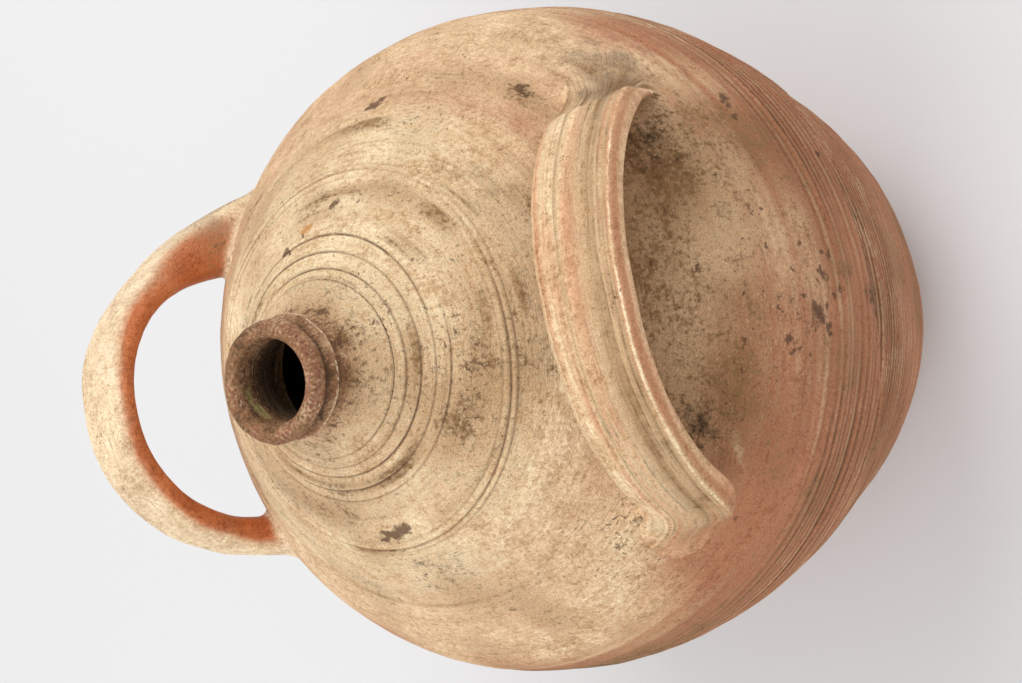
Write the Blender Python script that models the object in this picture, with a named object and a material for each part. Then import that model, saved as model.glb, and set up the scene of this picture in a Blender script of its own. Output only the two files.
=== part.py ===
"""Two-handled oil jug in unglazed earthenware, standing upright on its foot.

The jug is thrown in two halves that meet in a ridge-and-groove seam at the belly.
A narrow neck with a collar and a rolled lip is luted into the top of the shoulder,
and two pulled strap handles stand on the shoulder like the ears of a pail.
Metres, +Z up, origin at the centre of the foot's underside.
"""

import math

import bmesh
import bpy
import numpy as np

# Body: heights are from the foot's underside, rises from the belly and radii from the turning axis
FOOT_RADIUS = 0.104
FOOT_EDGE = 0.003
LOWER_HEIGHT = 0.052
LOWER_RADIUS = 0.1325
FLANK_HEIGHT = 0.132
FLANK_RADIUS = 0.1573
BELLY_HEIGHT = 0.245
BELLY_RADIUS = 0.175
TURN_RISE = 0.0725
TURN_RADIUS = 0.1636
BROW_RISE = 0.100
BROW_RADIUS = 0.1485
SLOPE_RISE = 0.128
SLOPE_RADIUS = 0.1230
CROWN_RISE = 0.1655
CROWN_RADIUS = 0.0870
NECK_SEAT_RISE = 0.199
NECK_SEAT_RADIUS = 0.040
WALL = 0.008
FLOOR = 0.011

# Seam between the halves: a ridge on the upper rim sits in a groove in the lower one
SEAM_DROP = 0.003
SEAM_RIDGE_WIDTH = 0.005
SEAM_RIDGE_HEIGHT = 0.0015

# Ribs that the turning tool left on the lower half, counted down from the seam
RIB_START = 0.004
RIB_PITCH = 0.0056
RIB_DEPTH = 0.0008
RIB_COUNT = 14

# Lines scored round the neck, each measured outwards from the neck's seat, and a raised ring
LINES_OUT = (0.0055, 0.0111, 0.0185, 0.0242)
LINE_WIDTH = 0.0022
LINE_DEPTH = 0.0010
RING_OUT = 0.0465
RING_WIDTH = 0.0060
RING_HEIGHT = 0.0010

# Neck: rises are from its seat on the shoulder
NECK_SEAT_BEVEL = 0.006
THROAT_RADIUS = 0.0248
THROAT_RISE = 0.0165
COLLAR_RADIUS = 0.0277
COLLAR_RISE = 0.0233
COLLAR_THICKNESS = 0.0050
LIP_GROOVE_RADIUS = 0.0246
LIP_RADIUS = 0.0272
LIP_RISE = 0.0339
LIP_OVER = 0.0044
LIP_UNDER = 0.0036
BORE_RADIUS = 0.0187

# The thrown neck stands a little off true: the upper half drifts towards -Y as it rises
DRIFT_START_RISE = 0.070
DRIFT_AT_MOUTH = 0.009

# Strap handles: each root's rise is from the belly, its spread from the plane between the roots,
# and each handle has a back root towards +Y and a front root towards -Y
STRAP_THICKNESS = 0.0145
STRAP_RIDGE = 0.0008
RIDGES_ACROSS = 4
ARCH_SQUARENESS = 2.2
TAIL_LENGTH = 0.022
TUCK_REACH = 0.055
SWELL_REACH = 0.090
SWELL_POWER = 1.5
BACK_WIDENING = 0.25
FRONT_WIDENING = 0.60
RIGHT_WIDTH = 0.044
RIGHT_LEAN = math.radians(-1.5)
RIGHT_ROOT_RISE = 0.0735
RIGHT_SPREAD = 0.102
RIGHT_ARCH_HEIGHT = 0.098
RIGHT_BACK_TUCK = 0.026
RIGHT_FRONT_TUCK = 0.052
RIGHT_BACK_SWELL = 0.0085
RIGHT_FRONT_SWELL = 0.0080
LEFT_WIDTH = 0.030
LEFT_LEAN = math.radians(1)
LEFT_ROOT_RISE = 0.080
LEFT_SPREAD = 0.0735
LEFT_ARCH_HEIGHT = 0.109
LEFT_BACK_TUCK = 0.045
LEFT_FRONT_TUCK = 0.024
LEFT_BACK_SWELL = 0.031
LEFT_FRONT_SWELL = 0.0065

# Clay slip between luted pieces
LUTING_GAP = 0.0003

# Fineness of the turned and swept forms
TURN_STEPS = 48
OUTLINE_STEP = 0.018
CUTTER_STEP = 0.006
CURVE_STEPS = 24
FLARE_POINTS = 6
LIP_POINTS = 10
ARCH_STATIONS = 34
STRAP_POINTS = 24
OUTER_EDGE_POWER = 0.5
INNER_EDGE_POWER = 0.8
TURNED_CREASE = math.radians(35)
STRAP_CREASE = math.radians(50)


def smooth_curve(stations):
    """Points of a centripetal Catmull-Rom curve through the stations."""
    p = np.asarray(stations, float)
    p = np.vstack([2 * p[0] - p[1], p, 2 * p[-1] - p[-2]])
    chords = np.sqrt(np.linalg.norm(np.diff(p, axis=0), axis=1))
    knots = np.concatenate([[0.0], np.cumsum(chords)])
    out = []
    for i in range(1, len(p) - 2):
        t0, t1, t2, t3 = knots[i - 1 : i + 3]
        t = np.linspace(t1, t2, CURVE_STEPS, endpoint=False)[:, None]
        a1 = (t1 - t) / (t1 - t0) * p[i - 1] + (t - t0) / (t1 - t0) * p[i]
        a2 = (t2 - t) / (t2 - t1) * p[i] + (t - t1) / (t2 - t1) * p[i + 1]
        a3 = (t3 - t) / (t3 - t2) * p[i + 1] + (t - t2) / (t3 - t2) * p[i + 2]
        b1 = (t2 - t) / (t2 - t0) * a1 + (t - t0) / (t2 - t0) * a2
        b2 = (t3 - t) / (t3 - t1) * a2 + (t - t1) / (t3 - t1) * a3
        out.append((t2 - t) / (t2 - t1) * b1 + (t - t1) / (t2 - t1) * b2)
    out.append(p[-2][None, :])
    return np.vstack(out)


def body_stations():
    """Radius and height of the points that shape the body's outside, from foot to neck."""
    return [
        (FOOT_RADIUS, 0.0),
        (LOWER_RADIUS, LOWER_HEIGHT),
        (FLANK_RADIUS, FLANK_HEIGHT),
        (BELLY_RADIUS, BELLY_HEIGHT),
        (TURN_RADIUS, BELLY_HEIGHT + TURN_RISE),
        (BROW_RADIUS, BELLY_HEIGHT + BROW_RISE),
        (SLOPE_RADIUS, BELLY_HEIGHT + SLOPE_RISE),
        (CROWN_RADIUS, BELLY_HEIGHT + CROWN_RISE),
        (NECK_SEAT_RADIUS, BELLY_HEIGHT + NECK_SEAT_RISE),
    ]


def outward_normals(line):
    """Unit vectors square to the line, pointing out of the jug's wall."""
    along = np.gradient(line, axis=0)
    along /= np.linalg.norm(along, axis=1)[:, None]
    return np.stack([along[:, 1], -along[:, 0]], axis=1)


def lengths(line):
    """Distance along the line of each of its points."""
    return np.concatenate([[0.0], np.cumsum(np.linalg.norm(np.diff(line, axis=0), axis=1))])


def at(line, where):
    """Points of the line at these distances along it."""
    run = lengths(line)
    return np.stack([np.interp(where, run, line[:, k]) for k in (0, 1)], axis=1)


def where_height(line, height):
    """Distance along the line at which it reaches this height."""
    return float(np.interp(height, line[:, 1], lengths(line)))


def where_radius(line, radius):
    """Distance along the line's upper part, above its widest point, at which it has this radius."""
    run = lengths(line)
    widest = int(np.argmax(line[:, 0]))
    return float(np.interp(-radius, -line[widest:, 0], run[widest:]))


def stretch(line, start, end, step=OUTLINE_STEP):
    """Evenly spaced points of the line between two distances along it."""
    count = max(2, int(math.ceil(abs(end - start) / step)) + 1)
    return at(line, np.linspace(start, end, count))


def scored(line, start, end, marks):
    """A stretch of the line with turned marks, each (distance, width, height).

    A mark is a pointed groove where its height is below 0 and a pointed ring where it is above.
    """
    run = lengths(line)
    normals = outward_normals(line)
    rows = []
    low = start
    for middle, width, height in marks:
        out = np.array([np.interp(middle, run, normals[:, k]) for k in (0, 1)])
        rows.append(stretch(line, low, middle - width / 2))
        rows.append(at(line, np.array([middle])) + height * out / np.linalg.norm(out))
        low = middle + width / 2
    rows.append(stretch(line, low, end))
    return np.vstack(rows)


def joined(*runs):
    """One outline from several runs of points, with doubled points dropped."""
    points = np.vstack([np.atleast_2d(np.asarray(run, float)) for run in runs])
    apart = np.linalg.norm(np.diff(points, axis=0), axis=1) > 1e-5
    points = points[np.concatenate([[True], apart])]
    if np.linalg.norm(points[0] - points[-1]) < 1e-5:
        points = points[:-1]
    return points


def earthenware(name, colour, roughness):
    """A fired clay material of one colour."""
    material = bpy.data.materials.new(name)
    material.use_nodes = True
    shader = material.node_tree.nodes["Principled BSDF"]
    shader.inputs["Base Color"].default_value = (*colour, 1.0)
    shader.inputs["Roughness"].default_value = roughness
    shader.inputs["Metallic"].default_value = 0.0
    material.diffuse_color = (*colour, 1.0)
    return material


def finish(bm, name, material, crease):
    """Turns the bmesh into a named object, faces outwards, shaded smooth up to the crease angle."""
    bmesh.ops.remove_doubles(bm, verts=bm.verts, dist=1e-6)
    bmesh.ops.recalc_face_normals(bm, faces=bm.faces)
    if bm.calc_volume(signed=True) < 0:
        bmesh.ops.reverse_faces(bm, faces=bm.faces)
    mesh = bpy.data.meshes.new(name)
    bm.to_mesh(mesh)
    bm.free()
    mesh.shade_smooth()
    mesh.set_sharp_from_angle(angle=crease)
    mesh.materials.append(material)
    piece = bpy.data.objects.new(name, mesh)
    bpy.context.scene.collection.objects.link(piece)
    return piece


def drift(height):
    """How far the clay at this height stands off the foot's axis, towards -Y."""
    start = BELLY_HEIGHT + DRIFT_START_RISE
    mouth = BELLY_HEIGHT + NECK_SEAT_RISE + LIP_RISE
    return DRIFT_AT_MOUTH * (max(height - start, 0.0) / (mouth - start)) ** 2


def turned(name, outline, closed, material):
    """A turned piece: the outline of (radius, height) spun about the axis, then drifted off true."""
    bm = bmesh.new()
    verts = [bm.verts.new((r, 0.0, z)) for r, z in outline]
    pairs = list(zip(verts[:-1], verts[1:]))
    if closed:
        pairs.append((verts[-1], verts[0]))
    edges = [bm.edges.new(pair) for pair in pairs]
    bmesh.ops.spin(
        bm,
        geom=verts + edges,
        cent=(0.0, 0.0, 0.0),
        axis=(0.0, 0.0, 1.0),
        angle=2 * math.pi,
        steps=TURN_STEPS,
        use_merge=True,
    )
    for vert in bm.verts:
        vert.co.y -= drift(vert.co.z)
    return finish(bm, name, material, TURNED_CREASE)


# Outside and inside of the whole thrown body, foot to neck
OUTSIDE = smooth_curve(body_stations())
INSIDE = OUTSIDE - WALL * outward_normals(OUTSIDE)
SEAM_HEIGHT = BELLY_HEIGHT - SEAM_DROP


def seam(height):
    """The rim at the seam from outside to inside, with the ridge that points down at its middle."""
    outer = at(OUTSIDE, [where_height(OUTSIDE, height)])[0]
    inner = at(INSIDE, [where_height(INSIDE, height)])[0]
    middle = (outer[0] + inner[0]) / 2
    return [
        (outer[0], height),
        (middle + SEAM_RIDGE_WIDTH / 2, height),
        (middle, height - SEAM_RIDGE_HEIGHT),
        (middle - SEAM_RIDGE_WIDTH / 2, height),
        (inner[0], height),
    ]


def lower_body(material):
    """The lower half: a thick-floored bowl, flat underneath, ribbed outside, with a grooved rim."""
    rim = where_height(OUTSIDE, SEAM_HEIGHT)
    ribs = []
    for i in reversed(range(RIB_COUNT)):
        ribs.append((rim - RIB_START - i * RIB_PITCH, RIB_PITCH, -RIB_DEPTH))
    outline = joined(
        (0.0, 0.0),
        (FOOT_RADIUS - FOOT_EDGE, 0.0),
        scored(OUTSIDE, FOOT_EDGE, rim, ribs),
        seam(SEAM_HEIGHT),
        stretch(INSIDE, where_height(INSIDE, SEAM_HEIGHT), where_height(INSIDE, FLOOR)),
        (0.0, FLOOR),
    )
    return turned("lower_body", outline, False, material)


def neck_seat(gap):
    """Outer and inner edge of the bevelled seat between shoulder and neck, lifted by the gap."""
    outer = OUTSIDE[-1]
    inner = INSIDE[-1] - np.array([NECK_SEAT_BEVEL, 0.0])
    across = (inner - outer) / np.linalg.norm(inner - outer)
    lift = gap * np.array([-across[1], across[0]])
    if lift[1] < 0:
        lift = -lift
    return outer + lift, inner + lift


def shoulder(material):
    """The upper half: a dome with scored lines and a raised ring round its neck opening."""
    low = SEAM_HEIGHT + LUTING_GAP
    marks = [(where_radius(OUTSIDE, NECK_SEAT_RADIUS + RING_OUT), RING_WIDTH, RING_HEIGHT)]
    for out in sorted(LINES_OUT, reverse=True):
        marks.append((where_radius(OUTSIDE, NECK_SEAT_RADIUS + out), LINE_WIDTH, -LINE_DEPTH))
    outline = joined(
        scored(OUTSIDE, where_height(OUTSIDE, low), lengths(OUTSIDE)[-1], marks),
        *neck_seat(0.0),
        stretch(INSIDE, lengths(INSIDE)[-1], where_height(INSIDE, low)),
        seam(low)[::-1],
    )
    return turned("shoulder", outline, True, material)


def neck_flare(seat, throat):
    """The neck's foot: a curve that leaves the seat in line with the shoulder and ends upright."""
    slope = (NECK_SEAT_RISE - CROWN_RISE) / (CROWN_RADIUS - NECK_SEAT_RADIUS)
    corner = np.array([throat[0], seat[1] + slope * (seat[0] - throat[0])])
    t = np.linspace(0, 1, FLARE_POINTS)[:, None]
    return (1 - t) ** 2 * seat + 2 * t * (1 - t) * corner + t**2 * throat


def rolled_lip(height):
    """The lip's round section, from the groove under it over the top to the bore."""
    half = (LIP_RADIUS - BORE_RADIUS) / 2
    middle = BORE_RADIUS + half
    turn = np.linspace(-math.acos((LIP_GROOVE_RADIUS - middle) / half), math.pi, LIP_POINTS)
    rise = np.where(turn < 0, LIP_UNDER, LIP_OVER) * np.sin(turn)
    return np.stack([middle + half * np.cos(turn), height + rise], axis=1)


def neck(material):
    """The neck, up its outside and down its bore: flare, throat, sharp collar, groove and lip."""
    outer, inner = neck_seat(LUTING_GAP)
    base = BELLY_HEIGHT + NECK_SEAT_RISE
    collar = base + COLLAR_RISE
    widening = inner[0] - BORE_RADIUS
    outline = joined(
        neck_flare(outer, np.array([THROAT_RADIUS, base + THROAT_RISE])),
        (THROAT_RADIUS, collar - LUTING_GAP),
        (COLLAR_RADIUS, collar),
        (LIP_GROOVE_RADIUS, collar + COLLAR_THICKNESS),
        rolled_lip(base + LIP_RISE),
        (BORE_RADIUS, inner[1] + 2 * widening),
        (BORE_RADIUS + widening / 3, inner[1] + widening),
        inner,
    )
    return turned("neck", outline, True, material)


def arch_path(spread, height):
    """Centre line of a strap in its own plane, root to root: (sideways, up) at even distances.

    The arch is a superellipse, and each leg runs on straight down as a tail inside the wall.
    """
    t = np.linspace(0, math.pi, 721)
    power = 2 / ARCH_SQUARENESS
    side = spread * np.sign(np.cos(t)) * np.abs(np.cos(t)) ** power
    up = height * np.abs(np.sin(t)) ** power
    side = np.concatenate([[spread], side, [-spread]])
    up = np.concatenate([[-TAIL_LENGTH], up, [-TAIL_LENGTH]])
    line = np.stack([side, up], axis=1)
    return at(line, np.linspace(0, lengths(line)[-1], ARCH_STATIONS))


def strap_section(width, swell):
    """Strap section as (across, out) points: an oval with fine ridges on its outer face.

    The oval is square at the edge that faces away from the neck and rounder at the other, and
    the swell thickens its outer half.
    """
    t = np.linspace(0, 2 * math.pi, STRAP_POINTS, endpoint=False)
    power = np.where(np.cos(t) > 0, OUTER_EDGE_POWER, INNER_EDGE_POWER)
    across = width / 2 * np.sign(np.cos(t)) * np.abs(np.cos(t)) ** power
    lobe = np.sign(np.sin(t)) * np.abs(np.sin(t)) ** power
    out = lobe * (STRAP_THICKNESS / 2 + np.where(lobe > 0, swell, 0.0))
    ridges = STRAP_RIDGE * np.cos(2 * math.pi * RIDGES_ACROSS * across / width)
    return np.stack([across, out + np.where(lobe > 0.5, ridges, 0.0)], axis=1)


def near_roots(run, reach, most):
    """How near each point of a strap's run is to its back and front root: 0 at reach, 1 at them."""
    above = np.stack([run, run[-1] - run], axis=1) - TAIL_LENGTH
    return np.clip(1 - above / reach, 0, most)


def strap_handle(name, side, width, lean, root_rise, spread, height, tucks, swells, material, body):
    """A pulled strap bent into an arch that stands on the shoulder, cut to fit the body.

    The side is +1 or -1 along X, and the lean tips the arch outwards. Near its back and front
    root the strap tucks in towards the wall, widens and swells into its luted ends.
    """
    path = arch_path(spread, height)
    run = lengths(path)
    root_height = BELLY_HEIGHT + root_rise
    body_radius = float(np.interp(root_height, OUTSIDE[:, 1], OUTSIDE[:, 0]))
    reach = math.sqrt(max(body_radius**2 - spread**2, 0.0))
    outward = np.array([side * math.sin(lean), 0.0, math.cos(lean)])
    broad = np.array([side * math.cos(lean), 0.0, -math.sin(lean)])
    tucked = near_roots(run, TUCK_REACH, math.inf) ** 2 @ tucks
    wide = width * (1 + near_roots(run, TUCK_REACH, 1) ** 2 @ (BACK_WIDENING, FRONT_WIDENING))
    swollen = near_roots(run, SWELL_REACH, 1) ** SWELL_POWER @ swells
    centre = path[:, :1] * np.array([0.0, 1.0, 0.0]) + path[:, 1:] * outward
    centre += np.array([side * reach, 0.0, root_height])
    centre[:, 0] -= side * tucked
    along = np.gradient(centre, axis=0)
    out = np.cross(along, broad)
    out /= np.linalg.norm(out, axis=1)[:, None]
    out *= np.sign(out[ARCH_STATIONS // 2] @ outward)
    bm = bmesh.new()
    rings = []
    for i in range(ARCH_STATIONS):
        section = strap_section(wide[i], swollen[i])
        ring = centre[i] + section[:, :1] * broad + section[:, 1:] * out[i]
        rings.append([bm.verts.new(point) for point in ring])
    for first, second in zip(rings[:-1], rings[1:]):
        for k in range(STRAP_POINTS):
            j = (k + 1) % STRAP_POINTS
            bm.faces.new((first[k], first[j], second[j], second[k]))
    bm.faces.new(rings[0][::-1])
    bm.faces.new(rings[-1])
    handle = finish(bm, name, material, STRAP_CREASE)
    cut = handle.modifiers.new("Cut to the body", "BOOLEAN")
    cut.operation = "DIFFERENCE"
    cut.solver = "EXACT"
    cut.object = body
    return handle


def body_with_gap():
    """The solid that both handles are cut by: the body's outside, one luting gap larger."""
    line = OUTSIDE + LUTING_GAP * outward_normals(OUTSIDE)
    outside = stretch(line, 0.0, lengths(line)[-1], CUTTER_STEP)
    outline = joined((0.0, line[0][1]), outside, (0.0, line[-1][1]))
    tool = turned("body_with_gap", outline, False, earthenware("Guide", (0.5, 0.5, 0.5), 0.8))
    tool.hide_render = True
    tool.display_type = "WIRE"
    return tool


def build():
    for old in list(bpy.data.objects):
        bpy.data.objects.remove(old)
    lower_body(earthenware("Pink fired clay", (0.44, 0.20, 0.13), 0.80))
    shoulder(earthenware("Buff fired clay", (0.56, 0.38, 0.23), 0.78))
    neck(earthenware("Brown stained clay", (0.30, 0.15, 0.10), 0.72))
    body = body_with_gap()
    pale = earthenware("Pale strap clay", (0.62, 0.44, 0.27), 0.75)
    red = earthenware("Red strap clay", (0.52, 0.26, 0.13), 0.70)
    right = (RIGHT_WIDTH, RIGHT_LEAN, RIGHT_ROOT_RISE, RIGHT_SPREAD, RIGHT_ARCH_HEIGHT)
    tucks = (RIGHT_BACK_TUCK, RIGHT_FRONT_TUCK)
    swells = (RIGHT_BACK_SWELL, RIGHT_FRONT_SWELL)
    strap_handle("right_handle", 1, *right, tucks, swells, pale, body)
    left = (LEFT_WIDTH, LEFT_LEAN, LEFT_ROOT_RISE, LEFT_SPREAD, LEFT_ARCH_HEIGHT)
    tucks = (LEFT_BACK_TUCK, LEFT_FRONT_TUCK)
    swells = (LEFT_BACK_SWELL, LEFT_FRONT_SWELL)
    strap_handle("left_handle", -1, *left, tucks, swells, red, body)


build()
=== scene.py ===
"""Looks of a two-handled earthenware oil jug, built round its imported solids.

The file follows the potter: lower half, shoulder, neck, right strap, left strap, and last the studio.
Metres, +Z up, the foot's centre at the origin, the mouth at the top.
"""

import math

import bpy
import numpy as np
from mathutils import Matrix


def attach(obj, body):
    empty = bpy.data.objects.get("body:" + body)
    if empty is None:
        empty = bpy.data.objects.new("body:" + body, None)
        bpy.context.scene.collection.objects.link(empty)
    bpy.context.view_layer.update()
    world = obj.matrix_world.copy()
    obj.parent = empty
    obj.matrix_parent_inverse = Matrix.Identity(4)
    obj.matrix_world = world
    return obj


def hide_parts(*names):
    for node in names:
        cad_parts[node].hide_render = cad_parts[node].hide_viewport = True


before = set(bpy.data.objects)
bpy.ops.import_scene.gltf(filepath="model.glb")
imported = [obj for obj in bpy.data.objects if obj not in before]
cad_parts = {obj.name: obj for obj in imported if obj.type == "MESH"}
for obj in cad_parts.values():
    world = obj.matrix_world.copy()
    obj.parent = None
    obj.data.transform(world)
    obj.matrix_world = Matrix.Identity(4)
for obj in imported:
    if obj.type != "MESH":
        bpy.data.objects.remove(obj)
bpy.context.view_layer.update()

# The lower half
# The lower half is a thick-floored bowl of pink-red clay, thrown on a wheel and fired without glaze.
# A turning tool has left ribs in its wall below the belly, and its rim carries the upper half in a
# seam that the potter has smoothed over with slip.

FOOT_RADIUS = 0.104
FOOT_EDGE = 0.003
BELLY_RADIUS = 0.1750
BELLY_HEIGHT = 0.245
WALL = 0.008
FLOOR = 0.011
SEAM_HEIGHT = 0.242
SEAM_SLIP = 0.00015
DRIFT_START = 0.315
DRIFT_AT_MOUTH = 0.009
MOUTH_HEIGHT = 0.4779
TURNS = 304
PLAIN_ROW = 0.0045
RIBBED_ROW = 0.00064
RIBBED_FROM = 0.085
INNER_CORNER_RUN = 0.0275

# Radius and height of places on the wall's outside, from the foot to under the neck.
wall_stations = np.array([
    (FOOT_RADIUS, 0.0),
    (0.1325, 0.052),
    (0.1573, 0.132),
    (BELLY_RADIUS, BELLY_HEIGHT),
    (0.1636, BELLY_HEIGHT + 0.0725),
    (0.1485, BELLY_HEIGHT + 0.100),
    (0.1230, BELLY_HEIGHT + 0.128),
    (0.0870, BELLY_HEIGHT + 0.1655),
    (0.0400, BELLY_HEIGHT + 0.199),
])


def smooth_curve(stations, steps=60):
    """Centripetal Catmull-Rom curve: each span blends lines through its four nearest stations."""
    p = np.vstack([2 * stations[0] - stations[1], stations, 2 * stations[-1] - stations[-2]])
    knots = np.concatenate([[0.0], np.cumsum(np.linalg.norm(np.diff(p, axis=0), axis=1) ** 0.5)])
    spans = []
    for i in range(1, len(p) - 2):
        t0, t1, t2, t3 = knots[i - 1:i + 3]
        t = np.linspace(t1, t2, steps, endpoint=False)[:, None]
        a = (t1 - t) / (t1 - t0) * p[i - 1] + (t - t0) / (t1 - t0) * p[i]
        b = (t2 - t) / (t2 - t1) * p[i] + (t - t1) / (t2 - t1) * p[i + 1]
        c = (t3 - t) / (t3 - t2) * p[i + 1] + (t - t2) / (t3 - t2) * p[i + 2]
        ab = (t2 - t) / (t2 - t0) * a + (t - t0) / (t2 - t0) * b
        bc = (t3 - t) / (t3 - t1) * b + (t - t1) / (t3 - t1) * c
        spans.append((t2 - t) / (t2 - t1) * ab + (t - t1) / (t2 - t1) * bc)
    spans.append(p[-2][None, :])
    return np.vstack(spans)


wall = smooth_curve(wall_stations)
wall_run = np.concatenate([[0.0], np.cumsum(np.linalg.norm(np.diff(wall, axis=0), axis=1))])
wall_slope = np.gradient(wall, axis=0)
wall_slope /= np.linalg.norm(wall_slope, axis=1)[:, None]
SEAM_RUN = float(np.interp(SEAM_HEIGHT, wall[:, 1], wall_run))
TOP_RUN = float(wall_run[-1])


def drift(height):
    """How far the clay stands off the foot's axis, towards -Y: a square law from the shoulder up."""
    rise = np.maximum(height - DRIFT_START, 0.0) / (MOUTH_HEIGHT - DRIFT_START)
    return DRIFT_AT_MOUTH * rise ** 2


def wall_point(run, turn, lift):
    """Point of the wall: the profile at this run, moved out along its normal by lift, spun to turn."""
    radius = np.interp(run, wall_run, wall[:, 0]) + lift * np.interp(run, wall_run, wall_slope[:, 1])
    height = np.interp(run, wall_run, wall[:, 1]) - lift * np.interp(run, wall_run, wall_slope[:, 0])
    return np.stack([radius * np.cos(turn), radius * np.sin(turn) - drift(height), height], axis=-1)


def ripples(points, wavelength, seed, waves=28):
    """Smooth noise near -1 to 1: the mean of plane waves of about one length in random directions."""
    draw = np.random.default_rng(seed)
    way = draw.normal(size=(waves, points.shape[-1]))
    way *= (2 * math.pi / wavelength / np.linalg.norm(way, axis=1) * draw.uniform(0.6, 1.4, waves))[:, None]
    phase = draw.uniform(0, 2 * math.pi, waves)
    total = np.zeros(points.shape[:-1])
    for k in range(waves):
        total += np.cos(points @ way[k] + phase[k])
    return total * math.sqrt(2 / waves) / 1.6


def turning_noise(lines, turn, length, seed):
    """Noise that runs round the pot: it changes over this length up the wall and slowly with turn."""
    place = np.stack([lines / length, 0.55 * np.cos(turn), 0.55 * np.sin(turn)], axis=-1)
    return ripples(place, 1.0, seed)


def stain(lines, turn, middle, size, slant=0.0):
    """Soft round spot: exp(-(a/w)^2 - (b/h)^2), where a and b are millimetres round and up the wall.

    The middle is (degrees of turn, millimetres up the wall), and the slant is how many millimetres b rises
    for each one of a.
    """
    radius = 1000 * np.interp(lines, wall_run, wall[:, 0])
    apart = (turn - math.radians(middle[0]) + math.pi) % (2 * math.pi) - math.pi
    a = radius * apart
    b = 1000 * lines - middle[1] - slant * a
    return np.exp(-(a / size[0]) ** 2 - (b / size[1]) ** 2)


def step_up(value, low, high):
    """Smooth step from 0 at low to 1 at high: 3t^2 - 2t^3."""
    t = np.clip((value - low) / (high - low), 0.0, 1.0)
    return t * t * (3 - 2 * t)


def rows_in(*spans):
    """Rows at even steps inside each (start, end, step), with the last span's end."""
    rows = [np.linspace(a, b, max(1, round((b - a) / step)), endpoint=False) for a, b, step in spans]
    return np.concatenate(rows + [[spans[-1][1]]])


def skin(name, rows, closed, facts):
    """Mesh from a grid of points (rows, turns, 3) that wraps in turn.

    A closed grid wraps in rows too, and an open one gets a pole at the mean of its first and last row.
    Facts are named numbers for each grid point, kept as attributes for the material.
    """
    count, turns = rows.shape[:2]
    grid = np.arange(count * turns).reshape(count, turns)
    low, high = (grid, np.roll(grid, -1, axis=0)) if closed else (grid[:-1], grid[1:])
    quads = np.stack([low, np.roll(low, -1, axis=1), np.roll(high, -1, axis=1), high], axis=-1)
    points = rows.reshape(-1, 3)
    faces = quads.reshape(-1, 4).tolist()
    values = {key: np.asarray(value, float).reshape(-1) for key, value in facts.items()}
    if not closed:
        poles = np.stack([rows[0].mean(axis=0), rows[-1].mean(axis=0)])
        first, last = grid[0], grid[-1]
        bottom = np.full(turns, len(points))
        faces += np.stack([np.roll(first, -1), first, bottom], axis=-1).tolist()
        faces += np.stack([last, np.roll(last, -1), bottom + 1], axis=-1).tolist()
        points = np.vstack([points, poles])
        for key, value in values.items():
            ends = [value[first].mean(), value[last].mean()]
            values[key] = np.concatenate([value, ends])
    mesh = bpy.data.meshes.new(name)
    mesh.from_pydata(points.tolist(), [], faces)
    for key, value in values.items():
        layer = mesh.attributes.new(key, "FLOAT", "POINT")
        layer.data.foreach_set("value", value.astype(np.float32))
    mesh.shade_smooth()
    mesh.update()
    piece = bpy.data.objects.new(name, mesh)
    bpy.context.scene.collection.objects.link(piece)
    return piece


def put(tree, kind, inputs=None, **settings):
    """Adds a node; each input is given by name or number and is a plain value or another's output."""
    node = tree.nodes.new("ShaderNode" + kind)
    for key, value in settings.items():
        setattr(node, key, value)
    for key, value in (inputs or {}).items():
        if isinstance(value, bpy.types.NodeSocket):
            tree.links.new(value, node.inputs[key])
        else:
            node.inputs[key].default_value = value
    return node


def fact(tree, name):
    """The value of one of the mesh's named numbers."""
    return put(tree, "Attribute", attribute_name=name).outputs["Fac"]


def sums(tree, kind, first, second):
    """One sum of two values: kind is ADD, MULTIPLY, POWER, MAXIMUM and so on."""
    return put(tree, "Math", {0: first, 1: second}, operation=kind).outputs[0]


def added(tree, first, *rest):
    """Several values added up."""
    for value in rest:
        first = sums(tree, "ADD", first, value)
    return first


def times(tree, first, second):
    """One value times another."""
    return sums(tree, "MULTIPLY", first, second)


def grain(tree, where, scale, detail, roughness, distortion=0.0):
    """Cloudy noise from 0 to 1 about 0.5."""
    return put(tree, "TexNoise", {
        "Vector": where, "Scale": scale, "Detail": detail, "Roughness": roughness, "Distortion": distortion,
    }).outputs["Fac"]


def between(tree, value, low, high, bottom=0.0, top=1.0):
    """Smooth step of the value, from bottom at low to top at high."""
    inputs = {"Value": value, "From Min": low, "From Max": high, "To Min": bottom, "To Max": top}
    return put(tree, "MapRange", inputs, interpolation_type="SMOOTHSTEP").outputs[0]


def laid_over(tree, amount, under, over, way="MIX"):
    """The over colour laid on the under colour by this amount."""
    inputs = {0: amount, 6: under, 7: over}
    return put(tree, "Mix", inputs, data_type="RGBA", blend_type=way).outputs[2]


def ragged(tree, place, scale, reach):
    """The place pushed about by cloudy noise up to this reach, so that round marks get ragged edges."""
    cloud = put(tree, "TexNoise", {"Vector": place, "Scale": scale, "Detail": 3.0}).outputs["Color"]
    push = put(tree, "VectorMath", {0: cloud, 1: (0.5, 0.5, 0.5)}, operation="SUBTRACT").outputs[0]
    inputs = {0: push, 1: (reach,) * 3, 2: place}
    return put(tree, "VectorMath", inputs, operation="MULTIPLY_ADD").outputs[0]


def blots(tree, place, marks):
    """1 inside round marks and 0 outside, soft from 0.65 to 1.35 of a radius: each is (x, y, z, radius)."""
    total = None
    for x, y, z, radius in marks:
        apart = put(tree, "VectorMath", {0: place, 1: (x, y, z)}, operation="DISTANCE").outputs["Value"]
        spot = between(tree, apart, 1.35 * radius, 0.65 * radius)
        total = spot if total is None else sums(tree, "MAXIMUM", total, spot)
    return total


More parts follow.
